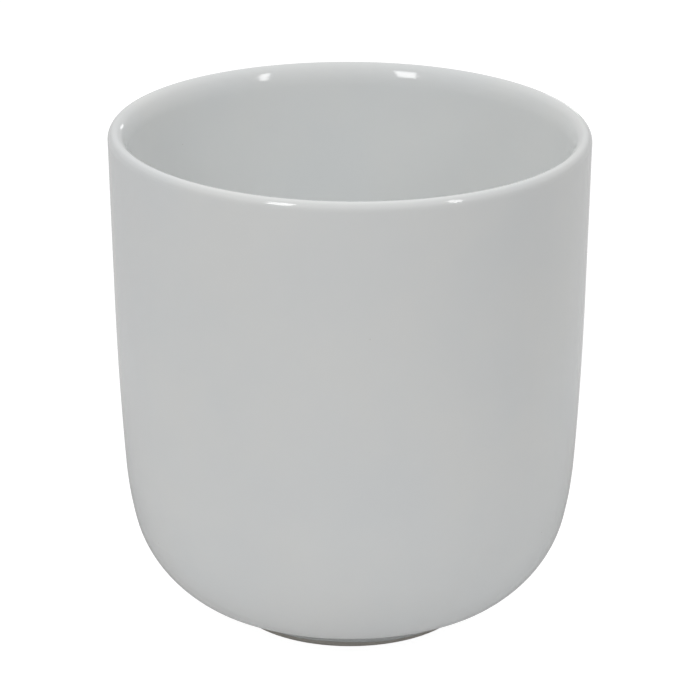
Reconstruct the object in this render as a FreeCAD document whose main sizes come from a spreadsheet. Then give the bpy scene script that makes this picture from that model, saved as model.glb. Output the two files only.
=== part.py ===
import FreeCAD, Part
import math
import os

import Sketcher

# A glazed porcelain pen cup: a round wall with a soft lip, a belly turned in to a low foot ring,
# and a shallow recess underneath.  Everything is turned about +Z, and z = 0 is the face it stands on.
#
# The fired clay is one piece.  It was dipped in glaze, which fired to a glass skin of its own: one
# skin runs from the floor inside, over the lip, down to the foot ring, and a second one lines the
# recess.  Between them the foot ring was wiped, so its bearing face is bare clay.

# alias, value in millimetres or degrees, meaning.  Sizes are those of the glazed surface.
DIMENSIONS = (
    ("height", "90.6", "foot to top of lip"),
    ("rim_radius", "42.5", "outside radius at the widest point, just under the lip"),
    ("floor_height", "7.3", "foot to top of the floor inside"),
    ("glaze", "0.3", "thickness of the glaze"),
    ("glaze_line", "0.9", "height above the foot at which the glaze stops"),
    # The inside, from the floor up: each arc turns the outline by its own angle.
    ("floor_corner_radius", "18", "round from the floor into the wall"),
    ("floor_corner_turn", "78", "angle of that round"),
    ("inner_belly_radius", "73", "lower inside wall"),
    ("inner_belly_turn", "7", "angle of that arc"),
    ("inner_flank_radius", "420", "middle of the inside wall"),
    ("inner_flank_turn", "3.5", "angle of that arc"),
    # The lip, from the inside to the outside.
    ("inner_lip_radius", "6", "where the inside wall starts to round over"),
    ("inner_lip_turn", "28.5", "angle of that arc"),
    ("inner_crest_radius", "2.5", "inner half of the lip's top"),
    ("inner_crest_turn", "30", "angle of that arc"),
    ("crest_radius", "0.98", "top of the lip"),
    ("crest_turn", "75", "angle of that arc"),
    ("outer_lip_radius", "1.9", "outer edge of the lip"),
    ("outer_lip_turn", "46.1", "angle of that arc"),
    # The outside, from the lip down.
    ("flank_centre_height", "72.4", "height of the centre that the flank is swung from"),
    ("flank_radius", "642", "middle of the outside wall"),
    ("flank_turn", "2.8", "angle of that arc"),
    ("belly_radius", "64.3", "lower outside wall"),
    ("belly_turn", "9", "angle of that arc"),
    ("heel_radius", "21.6", "where the wall turns under"),
    ("heel_turn", "39.8", "angle of that arc"),
    ("underside_radius", "8.5", "last of the turn, into the sloping underside"),
    ("underside_turn", "22.3", "angle of that arc"),
    # The foot ring and the recess inside it.
    ("foot_radius", "21.7", "outside radius of the glazed foot ring"),
    ("foot_root_radius", "1.2", "hollow between the underside and the foot ring"),
    ("foot_edge_radius", "0.8", "rounding of the foot's two edges, measured where glaze would lie"),
    ("recess_radius", "18.1", "radius of the glazed recess"),
    ("recess_depth", "2.2", "foot to the recess's glazed ceiling"),
    ("recess_corner_radius", "0.8", "hollow between the recess's wall and ceiling"),
)

# Lengths at which the straight runs are first drawn, in millimetres.  The constraints set the true ones.
FLOOR_START = 17.86
INSIDE_START = 30.7
OUTSIDE_START = 28.9
UNDERSIDE_START = 5.8
FOOT_SIDE_START = 1.8
BEARING_START = 2.0
RECESS_WALL_START = 0.8
CEILING_START = 17.3
HALF_RING_START = 1.8
FORM_START = 4.0

SHEET = "dims"
ORIGIN = -1
Z_AXIS = -2
START = 1
END = 2
CENTRE = 3
RIGHT = 0
UP = 90
LEFT = 180
DOWN = -90
QUARTER = 90
NO_INSET = "0"
CLAY_INSET = f"{SHEET}.glaze"
RING_MIDDLE = f"({SHEET}.foot_radius + {SHEET}.recess_radius) / 2"
FLOOR_MIDDLE = f"({SHEET}.recess_depth + {SHEET}.floor_height) / 2"


def make_sheet(doc):
    sheet = doc.addObject("Spreadsheet::Sheet", SHEET)
    for row, (alias, value, meaning) in enumerate(DIMENSIONS, start=1):
        sheet.set(f"A{row}", meaning)
        sheet.set(f"B{row}", value)
        sheet.setAlias(f"B{row}", alias)
    doc.recompute()


def direction(degrees):
    angle = math.radians(degrees)
    return FreeCAD.Vector(math.cos(angle), math.sin(angle), 0)


class Outline:
    """A closed outline in the XZ plane of a body, x as the radius, walked with the solid on its right.

    inset is how far it lies inside the glazed surface, as an expression.  A hollow arc turns left and
    grows by the inset, and any other arc turns right and shrinks by it, so two insets stay parallel.
    """

    def __init__(self, body, inset, heading, x, z):
        self.sketch = body.newObject("Sketcher::SketchObject", f"{body.Name}Outline")
        plane = [p for p in body.Origin.OriginFeatures if p.Role == "XZ_Plane"][0]
        self.sketch.AttachmentSupport = (plane, [""])
        self.sketch.MapMode = "FlatFace"
        self.inset = inset
        self.heading = heading
        self.point = FreeCAD.Vector(self.value(x), self.value(z), 0)
        self.first = None
        self.last = None

    def value(self, expression):
        return float(self.sketch.evalExpression(expression))

    def fix(self, kind, *where):
        self.sketch.addConstraint(Sketcher.Constraint(kind, *where))

    def bind_length(self, kind, where, expression):
        index = self.sketch.addConstraint(Sketcher.Constraint(kind, *where, self.value(expression)))
        self.sketch.setExpression(f"Constraints[{index}]", expression)

    def bind_angle(self, where, expression):
        angle = math.radians(self.value(expression))
        index = self.sketch.addConstraint(Sketcher.Constraint("Angle", *where, angle))
        self.sketch.setExpression(f"Constraints[{index}]", f"{expression} * 1 deg")

    def at_height(self, index, position, expression):
        self.bind_length("DistanceY", (ORIGIN, START, index, position), expression)

    def at_radius(self, index, position, expression):
        self.bind_length("DistanceX", (ORIGIN, START, index, position), expression)

    def on_axis(self, index, position):
        self.fix("PointOnObject", index, position, Z_AXIS)

    def join(self, entry, leave, smooth):
        if self.last is None:
            self.first = entry
        else:
            self.fix("Tangent" if smooth else "Coincident", *self.last, *entry)
        self.last = leave

    def line(self, length, smooth=True):
        end = self.point + direction(self.heading) * length
        index = self.sketch.addGeometry(Part.LineSegment(self.point, end), False)
        self.join((index, START), (index, END), smooth)
        self.point = end
        return index

    def edge(self, heading, length):
        """A level or upright edge that starts with a sharp corner."""
        self.heading = heading
        index = self.line(length, smooth=False)
        self.fix("Horizontal" if heading in (LEFT, RIGHT) else "Vertical", index)
        return index

    def arc(self, name, hollow=False, free_turn=None):
        """Turns on NAME_radius by NAME_turn, or by free_turn where the next run sets the angle."""
        side = 1 if hollow else -1
        turn = f"{SHEET}.{name}_turn"
        degrees = self.value(turn) if free_turn is None else free_turn
        radius = f"{SHEET}.{name}_radius {'+' if hollow else '-'} {self.inset}"
        length = self.value(radius)
        enter = self.heading - side * QUARTER
        leave = enter + side * degrees
        centre = self.point - direction(enter) * length
        circle = Part.Circle(centre, FreeCAD.Vector(0, 0, 1), length)
        low, high = sorted((math.radians(enter), math.radians(leave)))
        index = self.sketch.addGeometry(Part.ArcOfCircle(circle, low, high), False)
        ends = ((index, START), (index, END))
        self.join(*(ends if hollow else reversed(ends)), True)
        self.bind_length("Radius", (index,), radius)
        if free_turn is None:
            self.bind_angle((index,), turn)
        self.point = centre + direction(leave) * length
        self.heading += side * degrees
        return index

    def turned(self, body):
        """Closes the outline and turns it once round the axis."""
        self.fix("Coincident", *self.last, *self.first)
        solid = body.newObject("PartDesign::Revolution", f"{body.Name}Turned")
        solid.Profile = self.sketch
        solid.ReferenceAxis = (self.sketch, ["V_Axis"])
        solid.Angle = 360
        return body


def draw_cup_side(outline):
    """From the middle of the floor up the inside, over the lip and down the outside to the foot ring."""
    floor = outline.line(FLOOR_START)
    outline.fix("Horizontal", floor)
    outline.on_axis(floor, START)
    outline.at_height(floor, START, f"{SHEET}.floor_height - {outline.inset}")
    for name in ("floor_corner", "inner_belly", "inner_flank"):
        outline.arc(name, hollow=True)
    outline.line(INSIDE_START)
    for name in ("inner_lip", "inner_crest"):
        outline.arc(name)
    crest = outline.arc("crest")
    outline.at_height(crest, CENTRE, f"{SHEET}.height - {SHEET}.crest_radius")
    lip = outline.arc("outer_lip")
    outline.at_radius(lip, CENTRE, f"{SHEET}.rim_radius - {SHEET}.outer_lip_radius")
    outline.line(OUTSIDE_START)
    flank = outline.arc("flank")
    outline.at_height(flank, CENTRE, f"{SHEET}.flank_centre_height")
    for name in ("belly", "heel", "underside"):
        outline.arc(name)
    outline.line(UNDERSIDE_START)
    outline.arc("foot_root", hollow=True, free_turn=DOWN - outline.heading)
    foot_side = outline.line(FOOT_SIDE_START)
    outline.fix("Vertical", foot_side)
    outline.at_radius(foot_side, END, f"{SHEET}.foot_radius - {outline.inset}")
    return foot_side


def draw_recess(outline, wall):
    """From the recess's wall, which goes up, round its corner and in to the axis."""
    outline.at_radius(wall, START, f"{SHEET}.recess_radius + {outline.inset}")
    outline.arc("recess_corner", hollow=True, free_turn=QUARTER)
    ceiling = outline.line(CEILING_START)
    outline.fix("Horizontal", ceiling)
    outline.on_axis(ceiling, END)
    outline.at_height(ceiling, END, f"{SHEET}.recess_depth + {outline.inset}")


def make_clay(doc):
    """The fired clay: wall, floor and foot ring in one, as if the glaze were taken off."""
    body = doc.addObject("PartDesign::Body", "Clay")
    outline = Outline(body, CLAY_INSET, RIGHT, "0", f"{SHEET}.floor_height - {CLAY_INSET}")
    draw_cup_side(outline)
    outline.arc("foot_edge", free_turn=QUARTER)
    bearing = outline.line(BEARING_START)
    outline.fix("Horizontal", bearing)
    outline.at_height(bearing, START, "0")
    outline.arc("foot_edge", free_turn=QUARTER)
    wall = outline.line(RECESS_WALL_START)
    outline.fix("Vertical", wall)
    draw_recess(outline, wall)
    outline.heading = UP
    outline.line(outline.value(f"{SHEET}.floor_height") - outline.point.y, smooth=False)
    return outline.turned(body)


def make_dipped_form(doc):
    """The glazed inside, lip and outside, filled in to the middle of the foot ring and floor."""
    body = doc.addObject("PartDesign::Body", "Dipped")
    outline = Outline(body, NO_INSET, RIGHT, "0", f"{SHEET}.floor_height")
    foot_side = draw_cup_side(outline)
    outline.at_height(foot_side, END, f"{SHEET}.glaze_line")
    outline.edge(LEFT, HALF_RING_START)
    in_ring = outline.edge(UP, FORM_START)
    outline.at_radius(in_ring, START, RING_MIDDLE)
    in_floor = outline.edge(LEFT, outline.value(RING_MIDDLE))
    outline.on_axis(in_floor, END)
    outline.at_height(in_floor, END, FLOOR_MIDDLE)
    outline.heading = UP
    outline.line(FORM_START, smooth=False)
    return outline.turned(body)


def make_recess_form(doc):
    """The glazed recess, filled in to the middle of the foot ring and floor."""
    body = doc.addObject("PartDesign::Body", "Recess")
    outline = Outline(body, NO_INSET, LEFT, RING_MIDDLE, f"{SHEET}.glaze_line")
    glaze_edge = outline.edge(LEFT, HALF_RING_START)
    outline.at_radius(glaze_edge, START, RING_MIDDLE)
    outline.at_height(glaze_edge, START, f"{SHEET}.glaze_line")
    draw_recess(outline, outline.edge(UP, RECESS_WALL_START))
    outline.heading = UP
    in_floor = outline.line(FORM_START, smooth=False)
    outline.on_axis(in_floor, END)
    outline.at_height(in_floor, END, FLOOR_MIDDLE)
    outline.edge(RIGHT, outline.value(RING_MIDDLE))
    outline.edge(DOWN, FORM_START)
    return outline.turned(body)


def make_glaze(doc, name, form, clay):
    """What is left of a glazed form once the clay is taken out of it."""
    skin = doc.addObject("Part::Cut", name)
    skin.Base = form
    skin.Tool = clay
    return skin


def check(doc, subparts):
    for thing in doc.Objects:
        if {"Invalid", "Error"} & set(thing.State):
            raise RuntimeError(f"{thing.Name} failed: {thing.State}")
    for part in subparts:
        if part.Shape.isNull() or not part.Shape.isValid():
            raise RuntimeError(f"{part.Label} has no valid shape")


def main():
    doc = FreeCAD.newDocument("PenCup")
    make_sheet(doc)
    clay = make_clay(doc)
    coat = make_glaze(doc, "Coat", make_dipped_form(doc), clay)
    base = make_glaze(doc, "Base", make_recess_form(doc), clay)
    clay.Label = "porcelain_body"
    coat.Label = "glaze_coat"
    base.Label = "base_glaze"
    subparts = (clay, coat, base)
    for part in subparts:
        part.Placement = FreeCAD.Placement()
    doc.recompute()
    check(doc, subparts)
    os.makedirs("parts", exist_ok=True)
    for part in subparts:
        part.Shape.exportStep(f"parts/{part.Label}.step")
        print(part.Label, f"{part.Shape.Volume:.1f} mm3,", len(part.Shape.Solids), "solid")


main()
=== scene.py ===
import math

import bmesh
import bpy
from mathutils import Matrix, Quaternion, Vector, noise


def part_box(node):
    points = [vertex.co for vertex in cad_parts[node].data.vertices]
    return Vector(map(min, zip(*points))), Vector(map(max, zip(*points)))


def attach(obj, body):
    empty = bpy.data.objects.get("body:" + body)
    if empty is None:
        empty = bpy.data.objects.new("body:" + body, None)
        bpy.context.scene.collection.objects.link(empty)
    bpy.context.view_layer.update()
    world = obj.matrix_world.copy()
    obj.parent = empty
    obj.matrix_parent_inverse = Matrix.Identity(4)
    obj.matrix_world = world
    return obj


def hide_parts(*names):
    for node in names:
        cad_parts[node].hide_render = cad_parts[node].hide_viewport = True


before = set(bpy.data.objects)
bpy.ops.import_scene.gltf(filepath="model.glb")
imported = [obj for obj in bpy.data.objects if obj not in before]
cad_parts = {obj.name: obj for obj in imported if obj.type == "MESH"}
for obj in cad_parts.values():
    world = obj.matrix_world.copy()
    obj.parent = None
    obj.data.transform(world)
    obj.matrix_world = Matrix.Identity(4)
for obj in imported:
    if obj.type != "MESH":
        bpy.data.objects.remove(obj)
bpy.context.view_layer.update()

# A white glazed porcelain pen cup, turned about the Z axis.  The section of each piece is walked as a
# path of points (radius, height) in millimetres, and the meshes are made in metres.
MM = 0.001
TINY = 1e-6
TURNS = 192
SHARP_FROM = 40.0


# ---- sizes -----------------------------------------------------------------------------------------

def frame_box(node):
    """The corners of a CAD node, in millimetres."""
    return [Vector(corner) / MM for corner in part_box(node)]


COAT_LOW, COAT_HIGH = frame_box("glaze_coat")
CLAY_HIGH = frame_box("porcelain_body")[1]
RECESS_HIGH = frame_box("base_glaze")[1]

HEIGHT = COAT_HIGH.z
RIM_RADIUS = COAT_HIGH.x
GLAZE = HEIGHT - CLAY_HIGH.z
GLAZE_LINE = COAT_LOW.z
RECESS_TOP = RECESS_HIGH.z
RECESS_RADIUS = RECESS_HIGH.x

FLOOR_HEIGHT = 7.3
FOOT_RADIUS = 21.7
FOOT_EDGE = 0.5
RECESS_CORNER = 1.1
RECESS_GLAZE_CORNER = 0.8
FLANK_CENTRE_HEIGHT = 72.4


class Arc:
    """A round stretch of the glazed section.  Its radius is negative where the face is hollow.

    The angles are those of the outward normal where the stretch begins and ends, from +X towards +Z."""

    def __init__(self, radius, start, end):
        self.radius = radius
        self.start = start
        self.end = end


FLOOR_CORNER = Arc(-18.0, 90.0, 168.0)
INNER_BELLY = Arc(-73.0, 168.0, 175.0)
INNER_FLANK = Arc(-420.0, 175.0, 178.5)
INNER_LIP = Arc(6.0, 178.5, 150.0)
INNER_CREST = Arc(2.5, 150.0, 120.0)
CREST = Arc(0.98, 120.0, 45.0)
OUTER_LIP = Arc(1.9, 45.0, -1.1)
FLANK = Arc(642.0, -1.1, -3.9)
BELLY = Arc(64.3, -3.9, -12.9)
HEEL = Arc(21.6, -12.9, -52.7)
UNDERSIDE = Arc(8.5, -52.7, -75.0)
FOOT_ROOT = Arc(-1.2, -75.0, 0.0)


class Pace:
    """How closely a path is walked: the longest step in millimetres, and the largest turn in degrees."""

    def __init__(self, step, turn):
        self.step = step
        self.turn = turn


# The faces where glaze and clay meet are never seen, so their steps are long.
SEEN = Pace(1.2, 4.0)
HIDDEN = Pace(2.4, 12.0)
EDGE = Pace(0.3, 12.0)
FINE_EDGE = Pace(0.3, 8.0)

# The rolled edge of the glaze: how far it stands out past the glaze's thickness, half its height, and
# the angles of the points along its face.
BEAD_SWELL = 0.08
BEAD_HALF = 0.34
BEAD_ANGLES = [38.0 - 10.0 * k for k in range(12)]

# The turned lines on the bare ring: their depth and pitch, and how fast their depth changes across it.
MARK_DEPTH = 0.012
MARK_PITCH = 0.41
MARK_CHANGE = 2.9

# What firing does to the cup, as waves round it: the size in millimetres, the number of waves, and the
# phase in radians.  LEAN is the tilt of the lip in radians, down towards +X.
OUT_OF_ROUND = [(0.07, 2, 0.6), (0.03, 3, 2.1)]
LIP_WAVES = [(0.04, 2, -1.1), (0.015, 5, 0.4)]
LINE_WAVES = [(0.10, 3, -0.6708), (0.06, 8, 0.4292)]
LEAN = 0.0066

# The ripple of the glaze: its depth and its size.
RIPPLE_DEPTH = 0.012
RIPPLE_SIZE = 7.0

# The spans of height over which these begin or die out.  That of the lip is in shares of HEIGHT.
LIP_BEGINS = (0.1, 1.0)
LINE_BEGINS = (0.55, 0.85)
LINE_DIES_OUT = (1.3, 2.6)
RIPPLE_BEGINS = (3.0, 8.0)


# ---- the section -----------------------------------------------------------------------------------

def normal(angle):
    return Vector((math.cos(math.radians(angle)), math.sin(math.radians(angle))))


def step_between(arc, following):
    """From the centre of an arc to the centre of the one that follows it without a corner."""
    return (arc.radius - following.radius) * normal(arc.end)


def centre_across(centre, arc, following, x=None, z=None):
    """The centre of the arc that follows a straight run, from the one coordinate of it that is known."""
    n = normal(arc.end)
    gap = arc.radius - following.radius
    if x is None:
        x = centre.x + (gap - (z - centre.y) * n.y) / n.x
    else:
        z = centre.y + (gap - (x - centre.x) * n.x) / n.y
    return Vector((x, z))


def glazed_section():
    """The arcs of the glazed face with their centres, from the floor inside to the root of the foot."""
    lip_x = RIM_RADIUS - OUTER_LIP.radius
    crest = Vector((lip_x, HEIGHT - CREST.radius))
    crest.x -= step_between(CREST, OUTER_LIP).x

    inner_crest = crest - step_between(INNER_CREST, CREST)
    inner_lip = inner_crest - step_between(INNER_LIP, INNER_CREST)
    rise = step_between(FLOOR_CORNER, INNER_BELLY) + step_between(INNER_BELLY, INNER_FLANK)
    corner_height = FLOOR_HEIGHT - FLOOR_CORNER.radius
    down = Arc(INNER_LIP.radius, INNER_LIP.end, INNER_LIP.start)
    inner_flank = centre_across(inner_lip, down, INNER_FLANK, z=corner_height + rise.y)
    inner_belly = inner_flank - step_between(INNER_BELLY, INNER_FLANK)
    floor_corner = inner_belly - step_between(FLOOR_CORNER, INNER_BELLY)

    outer_lip = crest + step_between(CREST, OUTER_LIP)
    flank = centre_across(outer_lip, OUTER_LIP, FLANK, z=FLANK_CENTRE_HEIGHT)
    belly = flank + step_between(FLANK, BELLY)
    heel = belly + step_between(BELLY, HEEL)
    underside = heel + step_between(HEEL, UNDERSIDE)
    foot_root = centre_across(underside, UNDERSIDE, FOOT_ROOT, x=FOOT_RADIUS - FOOT_ROOT.radius)
    return [
        (FLOOR_CORNER, floor_corner), (INNER_BELLY, inner_belly), (INNER_FLANK, inner_flank),
        (INNER_LIP, inner_lip), (INNER_CREST, inner_crest), (CREST, crest), (OUTER_LIP, outer_lip),
        (FLANK, flank), (BELLY, belly), (HEEL, heel), (UNDERSIDE, underside), (FOOT_ROOT, foot_root),
    ]


SECTION = glazed_section()


def arc_points(centre, reach, start, end, pace):
    """Points of an arc, its ends included."""
    sweep = end - start
    length = abs(math.radians(sweep) * reach)
    count = max(2, math.ceil(length / pace.step), math.ceil(abs(sweep) / pace.turn))
    return [centre + reach * normal(start + sweep * k / count) for k in range(count + 1)]


def joined(corners, step):
    """The path through these points with more points on its longer runs."""
    path = [corners[0]]
    for a, b in zip(corners, corners[1:]):
        gap = (b - a).length
        count = max(1, math.ceil(gap / step))
        if gap > TINY:
            path += [a.lerp(b, k / count) for k in range(1, count + 1)]
    return path


def cup_path(inset, pace):
    """The glazed face set back by inset, from the axis on the floor to the root of the foot."""
    path = [Vector((0.0, FLOOR_HEIGHT - inset))]
    for arc, centre in SECTION:
        path += arc_points(centre, arc.radius - inset, arc.start, arc.end, pace)
    return joined(path, pace.step)


def recess_corner(wall, ceiling, corner, pace):
    """The recess under the foot, from the top of its wall round the corner to the axis."""
    centre = Vector((wall - corner, ceiling - corner))
    return arc_points(centre, corner, 0.0, 90.0, pace) + [Vector((0.0, ceiling))]


def bead(radius, side):
    """The rolled edge where the glaze stops on the foot.  side is +1 outside the ring, -1 inside it."""
    middle = Vector((radius, GLAZE_LINE + BEAD_HALF))
    reach = side * (GLAZE + BEAD_SWELL)
    return [middle + Vector((reach * normal(a).x, BEAD_HALF * normal(a).y)) for a in BEAD_ANGLES]


def turning_mark(radius):
    """How far the bare ring is cut back at a radius, in fine turned lines."""
    line = 1.0 + math.cos(math.tau * radius / MARK_PITCH)
    return MARK_DEPTH * line * (1.0 + 0.5 * math.sin(MARK_CHANGE * radius))


def coat_path():
    """The glaze from the floor inside, over the lip, down to the foot, and back against the clay."""
    edge = bead(FOOT_RADIUS - GLAZE, 1.0)
    face = cup_path(0.0, SEEN) + edge
    against_clay = [edge[-1]] + cup_path(GLAZE, HIDDEN)[::-1]
    return joined(face, SEEN.step) + joined(against_clay, HIDDEN.step)[1:]


def clay_path():
    """The fired clay: under the glaze, then the bare bearing ring and the wall of the recess."""
    outer = Vector((FOOT_RADIUS - GLAZE - FOOT_EDGE, FOOT_EDGE))
    inner = Vector((RECESS_RADIUS + FOOT_EDGE, FOOT_EDGE))
    outer_edge = arc_points(outer, FOOT_EDGE, 0.0, -90.0, EDGE)
    inner_edge = arc_points(inner, FOOT_EDGE, -90.0, -180.0, EDGE)
    bearing = joined([outer_edge[-1], inner_edge[0]], step=0.09)[1:-1]
    turned = [p + Vector((0.0, turning_mark(p.x))) for p in bearing]
    top = cup_path(GLAZE, HIDDEN)
    side = joined([top[-1], outer_edge[0]], step=0.5)[1:-1]
    recess = joined(recess_corner(RECESS_RADIUS, RECESS_TOP, RECESS_CORNER, EDGE), step=1.5)
    return top + side + outer_edge + turned + inner_edge + recess


def recess_path():
    """The glaze that lines the recess: thickest in its corner, and rolled where it stops on the ring."""
    edge = bead(RECESS_RADIUS, -1.0)
    face = recess_corner(RECESS_RADIUS - GLAZE, RECESS_TOP - GLAZE, RECESS_GLAZE_CORNER, FINE_EDGE)
    back = recess_corner(RECESS_RADIUS, RECESS_TOP, RECESS_CORNER, EDGE)
    return joined(face[::-1] + edge, step=0.9) + joined([edge[-1]] + back, step=2.0)[1:]


# ---- from the section to a mesh --------------------------------------------------------------------

def smoothstep(low, high, value):
    t = min(1.0, max(0.0, (value - low) / (high - low)))
    return t * t * (3.0 - 2.0 * t)


def waves(terms, angle):
    return sum(size * math.cos(count * angle + phase) for size, count, phase in terms)


def as_drawn(radius, angle, height):
    return radius, height


def fired(radius, angle, height):
    """A point of the turned clay as it comes out of the kiln: the lip not quite round and not quite level."""
    lift = smoothstep(*LIP_BEGINS, height / HEIGHT)
    drop = waves(LIP_WAVES, angle) - LEAN * radius * math.cos(angle)
    radius += lift * waves(OUT_OF_ROUND, angle) * radius / RIM_RADIUS
    return radius, height + lift * lift * drop


def glazed(radius, angle, height):
    """The same for glaze, whose stopping line on the foot also wanders up and down."""
    radius, height = fired(radius, angle, height)
    at_line = smoothstep(*LINE_BEGINS, height) * (1.0 - smoothstep(*LINE_DIES_OUT, height))
    height += at_line * waves(LINE_WAVES, angle)
    place = Vector((radius * math.cos(angle), radius * math.sin(angle), height))
    above_foot = smoothstep(*RIPPLE_BEGINS, height)
    return radius + RIPPLE_DEPTH * noise.noise(place / RIPPLE_SIZE) * above_foot, height


def lathe(name, path, shape):
    """A mesh turned about Z from a path that starts and ends on the axis, or one flat disc.

    shape gives the true radius and height of a turned point, from its radius, angle and height."""
    mesh = bpy.data.meshes.new(name)
    built = bmesh.new()
    rings = []
    for point in path:
        if point.x < TINY:
            rings.append([built.verts.new((0.0, 0.0, point.y * MM))])
            continue
        ring = []
        for k in range(TURNS):
            angle = math.tau * k / TURNS
            radius, height = shape(point.x, angle, point.y)
            ring.append(built.verts.new((
                radius * math.cos(angle) * MM, radius * math.sin(angle) * MM, height * MM)))
        rings.append(ring)
    for lower, upper in zip(rings, rings[1:]):
        for k in range(TURNS):
            corners = [lower[k % len(lower)], lower[(k + 1) % len(lower)],
                       upper[(k + 1) % len(upper)], upper[k % len(upper)]]
            built.faces.new(list(dict.fromkeys(corners)))
    bmesh.ops.recalc_face_normals(built, faces=built.faces)
    built.to_mesh(mesh)
    built.free()
    mesh.shade_smooth()
    mesh.set_sharp_from_angle(angle=math.radians(SHARP_FROM))
    piece = bpy.data.objects.new(name, mesh)
    bpy.context.scene.collection.objects.link(piece)
    return piece


# ---- nodes -----------------------------------------------------------------------------------------

class Nodes:
    """A node tree under construction, with short ways to add and join its nodes."""

    def __init__(self, tree, coordinates):
        self.tree = tree
        self.place = tree.nodes.new("ShaderNodeTexCoord").outputs[coordinates]

    def feed(self, socket, value):
        """Links a socket to another, or sets it."""
        if isinstance(value, bpy.types.NodeSocket):
            self.tree.links.new(value, socket)
        else:
            socket.default_value = value

    def feed_all(self, node, inputs):
        """Feeds the sockets of a node by name, with _ for each space."""
        for key, value in inputs.items():
            self.feed(node.inputs[key.replace("_", " ")], value)

    def add(self, kind, settings=None, **inputs):
        node = self.tree.nodes.new(kind)
        for key, value in (settings or {}).items():
            setattr(node, key, value)
        self.feed_all(node, inputs)
        return node

    def noise(self, size_mm, detail=2.0, roughness=0.5):
        """A soft pattern about as coarse as size_mm, from 0 to 1."""
        node = self.add("ShaderNodeTexNoise", Vector=self.place, Scale=1.0 / (size_mm * MM),
                        Detail=detail, Roughness=roughness)
        return node.outputs["Fac"]

    def ramp(self, value, low, high, to_low=0.0, to_high=1.0, smooth=False):
        node = self.add("ShaderNodeMapRange", {"interpolation_type": "SMOOTHSTEP" if smooth else "LINEAR"},
                        Value=value, From_Min=low, From_Max=high, To_Min=to_low, To_Max=to_high)
        return node.outputs["Result"]

    def combine(self, operation, a, b):
        node = self.add("ShaderNodeMath", {"operation": operation})
        self.feed(node.inputs[0], a)
        self.feed(node.inputs[1], b)
        return node.outputs[0]

    def away(self, vector):
        """How far a point is from the origin."""
        return self.add("ShaderNodeVectorMath", {"operation": "LENGTH"}, Vector=vector).outputs["Value"]

    def mix(self, factor, a, b):
        node = self.add("ShaderNodeMix", {"data_type": "RGBA"})
        self.feed(node.inputs["Factor"], factor)
        for key, value in (("A", a), ("B", b)):
            socket = next(s for s in node.inputs if s.name == key and s.type == "RGBA")
            self.feed(socket, (*value, 1.0) if isinstance(value, tuple) else value)
        return next(s for s in node.outputs if s.type == "RGBA")

    def specks(self, cell_mm, radius_mm, share):
        """Small round spots in a share of the cells, from 0 to 1."""
        cells = self.add("ShaderNodeTexVoronoi", Vector=self.place, Scale=1.0 / (cell_mm * MM))
        spot = self.ramp(cells.outputs["Distance"], 0.6 * radius_mm / cell_mm, 1.2 * radius_mm / cell_mm,
                         to_low=1.0, to_high=0.0, smooth=True)
        tone = self.add("ShaderNodeSeparateColor", Color=cells.outputs["Color"])
        chosen = self.ramp(tone.outputs["Red"], 1.0 - share, 1.0 - share + 0.001)
        return self.combine("MULTIPLY", spot, chosen)

    def bump(self, height, depth_mm, **inputs):
        return self.add("ShaderNodeBump", Height=height, Distance=depth_mm * MM, **inputs).outputs["Normal"]


class Finish(Nodes):
    """The nodes of a material, round its shader."""

    def __init__(self, name):
        self.material = bpy.data.materials.new(name)
        self.material.use_nodes = True
        super().__init__(self.material.node_tree, "Object")
        self.shader = self.tree.nodes["Principled BSDF"]

    def drive(self, **inputs):
        self.feed_all(self.shader, inputs)


# ---- the cup's materials ---------------------------------------------------------------------------

GLAZE_WHITE = (0.890, 0.900, 0.891)
GLAZE_COOL = (0.864, 0.883, 0.886)
GLAZE_SPECK = (0.60, 0.58, 0.55)
GLAZE_IOR = 1.5
GLOSS = (0.05, 0.09)

CLAY_PALE = (0.80, 0.77, 0.72)
CLAY_WARM = (0.74, 0.70, 0.64)
CLAY_GRAIN = (0.66, 0.61, 0.55)
CLAY_SPECK = (0.34, 0.28, 0.22)
CLAY_ROUGHNESS = (0.78, 0.93)

# The wall inside, under the lip, is a little rougher than the rest of the glaze.  It is told from the
# outside by its distance from the axis, and the roughness fades over these two spans of height.
WALL_INSIDE = (39.8 * MM, 40.2 * MM)
WALL_TOP = (86.3 * MM, 88.3 * MM)
WALL_BOTTOM = (45.0 * MM, 65.0 * MM)
WALL_ROUGHER = 0.14


def under_the_lip(finish):
    """1 on the upper half of the wall inside the cup, and 0 elsewhere."""
    parts = finish.add("ShaderNodeSeparateXYZ", Vector=finish.place)
    flat = finish.add("ShaderNodeCombineXYZ", X=parts.outputs["X"], Y=parts.outputs["Y"])
    inside = finish.ramp(finish.away(flat.outputs["Vector"]), *WALL_INSIDE, to_low=1.0, to_high=0.0)
    below = finish.ramp(parts.outputs["Z"], *WALL_TOP, to_low=1.0, to_high=0.0, smooth=True)
    above = finish.ramp(parts.outputs["Z"], *WALL_BOTTOM, smooth=True)
    return finish.combine("MULTIPLY", inside, finish.combine("MULTIPLY", below, above))


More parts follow.
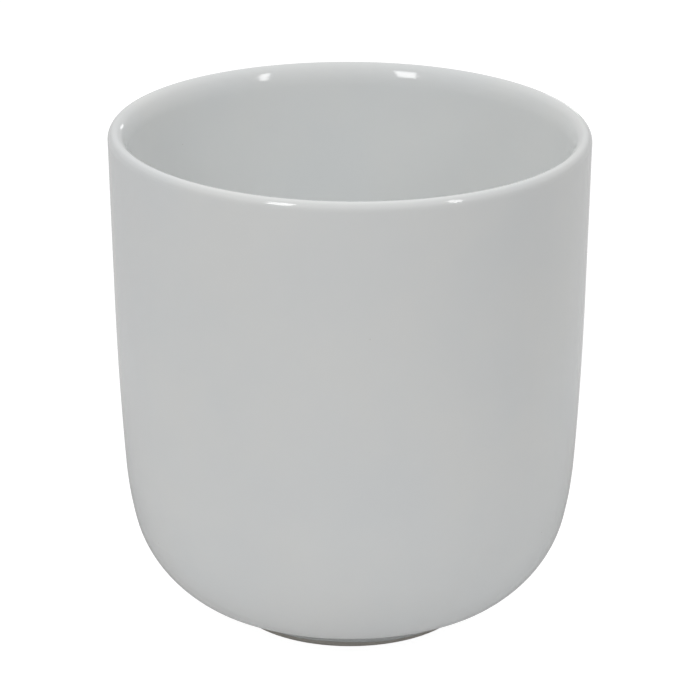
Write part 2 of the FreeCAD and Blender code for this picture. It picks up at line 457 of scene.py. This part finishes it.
def glaze_material(name):
    """Glossy glaze on white porcelain, with faint drifts of tone and a few pin-head iron specks."""
    finish = Finish(name)
    drift = finish.ramp(finish.noise(size_mm=24.0, detail=3.0), 0.35, 0.65)
    white = finish.mix(drift, GLAZE_WHITE, GLAZE_COOL)
    specks = finish.specks(cell_mm=3.4, radius_mm=0.10, share=0.03)
    gloss = finish.ramp(finish.noise(size_mm=9.0, detail=4.0), 0.25, 0.75, *GLOSS)
    rougher = finish.ramp(under_the_lip(finish), 0.0, 1.0, to_high=WALL_ROUGHER)
    peel = finish.bump(finish.noise(size_mm=5.5, detail=1.0), depth_mm=0.006)
    fine_peel = finish.bump(finish.noise(size_mm=0.7), depth_mm=0.0006, Normal=peel)
    finish.drive(
        Base_Color=finish.mix(specks, white, GLAZE_SPECK),
        Roughness=finish.combine("ADD", gloss, rougher), Normal=fine_peel, IOR=GLAZE_IOR)
    return finish.material


def bisque_material(name):
    """Bare fired clay, dry and fine grained, a little warmer than the glaze."""
    finish = Finish(name)
    drift = finish.ramp(finish.noise(size_mm=6.0, detail=4.0), 0.3, 0.7)
    body = finish.mix(drift, CLAY_PALE, CLAY_WARM)
    grain = finish.noise(size_mm=0.35, detail=5.0, roughness=0.65)
    grained = finish.mix(finish.ramp(grain, 0.35, 0.65, to_low=0.5, to_high=0.0), body, CLAY_GRAIN)
    specks = finish.specks(cell_mm=1.6, radius_mm=0.12, share=0.12)
    finish.drive(
        Base_Color=finish.mix(specks, grained, CLAY_SPECK),
        Roughness=finish.ramp(grain, 0.3, 0.7, *CLAY_ROUGHNESS), Normal=finish.bump(grain, depth_mm=0.02))
    return finish.material


# ---- the cup ---------------------------------------------------------------------------------------

GLAZE_FINISH = glaze_material("porcelain_glaze")
BISQUE_FINISH = bisque_material("bare_porcelain")

coat = lathe("cup_glaze", coat_path(), glazed)
coat.data.materials.append(GLAZE_FINISH)
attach(coat, "root")
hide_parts("glaze_coat")

clay = lathe("cup_clay", clay_path(), fired)
clay.data.materials.append(BISQUE_FINISH)
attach(clay, "root")
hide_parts("porcelain_body")

recess = lathe("recess_glaze", recess_path(), glazed)
recess.data.materials.append(GLAZE_FINISH)
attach(recess, "root")
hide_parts("base_glaze")


# ---- the paper under the cup -----------------------------------------------------------------------

# Three sheets stand in for one: one that only sends light up to the cup, with painted bounce light in its
# tone, pale round the cup and grey further out; a pale one that only the camera sees, with the cup's faint
# shadow on it; and a glowing one that only the glaze mirrors, a painted reflection of the paper that is
# dimmer under the cup as a painted shadow.  The first and the last lie a hair below the foot, so that no
# two sheets share a plane.
# Painted bounce light: the paper under the cup is pale near it and grey further out, fading between these
# distances.
BOUNCE_PAINTED_POOL, BOUNCE_PAINTED_SHADE = 0.90, 0.46
BOUNCE_PAINTED_FADE = (90.0 * MM, 200.0 * MM)
BOUNCE_DROP = 0.1
# Painted reflection: the glow of the sheet the glaze mirrors, dim under the cup as a painted shadow and
# brighter further out.
PAINTED_SHADOW_GLOW, PAINTED_REFLECTION_GLOW = 0.35, 0.62
PAINTED_SHADOW_FADE = (40.0 * MM, 150.0 * MM)
PAINTED_REFLECTION_DROP = 0.05
PALE_TONE = 0.20
PALE_MOTTLE = 0.985
PALE_GLOW = 0.95
SHEET_RADIUS = 3000.0
SWEEP_RADIUS = 4000.0
SWEEP_COVE = 1500.0
SWEEP_HEIGHT = 4000.0
SWEEP_PACE = Pace(150.0, 10.0)
PAPER_ROUGHNESS = 0.9
BLACK = (0.0, 0.0, 0.0, 1.0)
WHITE = (1.0, 1.0, 1.0, 1.0)


def paper(name):
    """The start of a matt sheet's material."""
    finish = Finish(name)
    finish.drive(Roughness=PAPER_ROUGHNESS, Specular_IOR_Level=0.0)
    return finish


def painted_bounce_material(name):
    """Paper with painted bounce light: pale round the cup and grey further out."""
    finish = paper(name)
    far = finish.ramp(finish.away(finish.place), *BOUNCE_PAINTED_FADE, smooth=True)
    finish.drive(Base_Color=finish.mix(far, (BOUNCE_PAINTED_POOL,) * 3, (BOUNCE_PAINTED_SHADE,) * 3))
    return finish.material


def pale_material(name):
    """Paper with a very faint mottle, and as much glow as keeps it white."""
    finish = paper(name)
    mottle = finish.ramp(finish.noise(size_mm=60.0, detail=3.0), 0.3, 0.7)
    finish.drive(
        Base_Color=finish.mix(mottle, (PALE_TONE,) * 3, (PALE_MOTTLE * PALE_TONE,) * 3),
        Emission_Color=WHITE, Emission_Strength=PALE_GLOW)
    return finish.material


def painted_reflection_material(name):
    """A glowing painted reflection of the paper: dim under the cup as a painted shadow, and brighter further
    out.
    """
    finish = paper(name)
    glow = finish.ramp(finish.away(finish.place), *PAINTED_SHADOW_FADE, PAINTED_SHADOW_GLOW, PAINTED_REFLECTION_GLOW, smooth=True)
    finish.drive(Base_Color=BLACK, Emission_Color=WHITE, Emission_Strength=glow)
    return finish.material


def sweep_path(radius, cove, height):
    """A flat floor that curves up all round into a wall and closes over the top."""
    path = [Vector((0.0, 0.0))]
    path += arc_points(Vector((radius - cove, cove)), cove, -90.0, 0.0, SWEEP_PACE)
    path += arc_points(Vector((radius - cove, height - cove)), cove, 0.0, 90.0, SWEEP_PACE)
    return path + [Vector((0.0, height))]


def sheet(name, path, material, drop, ways):
    """A sheet that meets these kinds of ray and no others, so many millimetres below the foot."""
    piece = lathe(name, path, as_drawn)
    piece.data.materials.append(material)
    piece.location.z = -drop * MM
    for way in ("camera", "diffuse", "glossy", "transmission", "volume_scatter", "shadow"):
        setattr(piece, "visible_" + way, way in ways)
    return piece


DISC = [Vector((0.0, 0.0)), Vector((SHEET_RADIUS, 0.0))]
# The paper that sends light up to the cup, with painted bounce light in its tone.
bounce = sheet("painted_bounce_paper", DISC, painted_bounce_material("painted_bounce_paper"), BOUNCE_DROP,
               ("diffuse", "transmission", "volume_scatter", "shadow"))
sweep = sheet("pale_sweep", sweep_path(SWEEP_RADIUS, SWEEP_COVE, SWEEP_HEIGHT),
              pale_material("pale_paper"), 0.0, ("camera",))
# A painted reflection of the paper, with the cup's shadow painted into its glow.
painted_reflection_sheet = sheet("painted_reflection_paper", DISC, painted_reflection_material("painted_reflection_paper"), PAINTED_REFLECTION_DROP, ("glossy",))


# ---- light -----------------------------------------------------------------------------------------

# The brightness of the sky against the sine of its elevation.
SKY = [(0.0, 0.12), (0.3, 0.27), (0.62, 0.56), (0.8, 0.62), (0.92, 0.60), (1.0, 0.78)]

# Behind the cup, towards +Y, the sky is as bright as it would be higher up.  The lift is 0 at the first Y
# of this span of directions and full at the second.
SKY_LIFT = 0.6
SKY_LIFT_SPAN = (-0.4, 1.0)

RIM = Vector((0.0, 0.0, HEIGHT * MM))


def gradient_sky(name):
    world = bpy.data.worlds.new(name)
    world.use_nodes = True
    nodes = Nodes(world.node_tree, "Generated")
    parts = nodes.add("ShaderNodeSeparateXYZ", Vector=nodes.place)
    lift = nodes.ramp(parts.outputs["Y"], *SKY_LIFT_SPAN, to_high=SKY_LIFT)
    height = nodes.combine("ADD", lift, parts.outputs["Z"])
    ramp = nodes.add("ShaderNodeValToRGB", Fac=height)
    stops = ramp.color_ramp.elements
    while len(stops) < len(SKY):
        stops.new(1.0)
    for stop, (position, brightness) in zip(stops, SKY):
        stop.position = position
        stop.color = (brightness, brightness, brightness, 1.0)
    nodes.feed(nodes.tree.nodes["Background"].inputs["Color"], ramp.outputs["Color"])
    return world


def soft_lamp(name, azimuth, elevation, distance, width, depth, roll, radiance):
    """A rectangular lamp that shines at the middle of the lip, rolled about its own axis.

    Its place is seen from there: azimuth in degrees from -Y towards +X, and elevation in degrees."""
    az = math.radians(azimuth)
    el = math.radians(elevation)
    out = Vector((math.cos(el) * math.sin(az), -math.cos(el) * math.cos(az), math.sin(el)))
    light = bpy.data.lights.new(name, "AREA")
    light.shape = "RECTANGLE"
    light.size = width
    light.size_y = depth
    light.energy = radiance * width * depth * math.pi
    lamp = bpy.data.objects.new(name, light)
    lamp.location = RIM + distance * out
    facing = (-distance * out).to_track_quat("-Z", "Y")
    lamp.rotation_euler = (facing @ Quaternion((0.0, 0.0, 1.0), math.radians(roll))).to_euler()
    lamp.visible_camera = False
    bpy.context.scene.collection.objects.link(lamp)


bpy.context.scene.world = gradient_sky("studio")
soft_lamp("lamp_left", azimuth=-33.6, elevation=35.3, distance=0.357,
          width=0.062, depth=0.150, roll=6.0, radiance=8.7)
soft_lamp("lamp_right", azimuth=51.5, elevation=31.9, distance=0.359,
          width=0.032, depth=0.150, roll=-12.0, radiance=8.5)
soft_lamp("lamp_back", azimuth=166.0, elevation=4.0, distance=0.357,
          width=0.032, depth=0.040, roll=0.0, radiance=1.8)


# ---- the camera ------------------------------------------------------------------------------------

# It looks down by PITCH degrees at a point on the axis, from far off through a long lens.
PITCH = 20.79
AIM = Vector((0.0, 0.0, 0.5386 * HEIGHT * MM))
STAND_OFF = 15.233 * RIM_RADIUS * MM
LENS = 185.14
SENSOR = 36.0
NEAREST = 0.01
FURTHEST = 100.0

camera_data = bpy.data.cameras.new("camera")
camera_data.sensor_width = SENSOR
camera_data.lens = LENS
camera_data.clip_start = NEAREST
camera_data.clip_end = FURTHEST
camera = bpy.data.objects.new("camera", camera_data)
turn = Matrix.Rotation(math.radians(90.0 - PITCH), 4, "X")
camera.matrix_world = Matrix.Translation(AIM) @ turn @ Matrix.Translation((0.0, 0.0, STAND_OFF))
bpy.context.scene.collection.objects.link(camera)
bpy.context.scene.camera = camera

bpy.context.scene.view_settings.view_transform = "Standard"
bpy.context.scene.view_settings.look = "None"
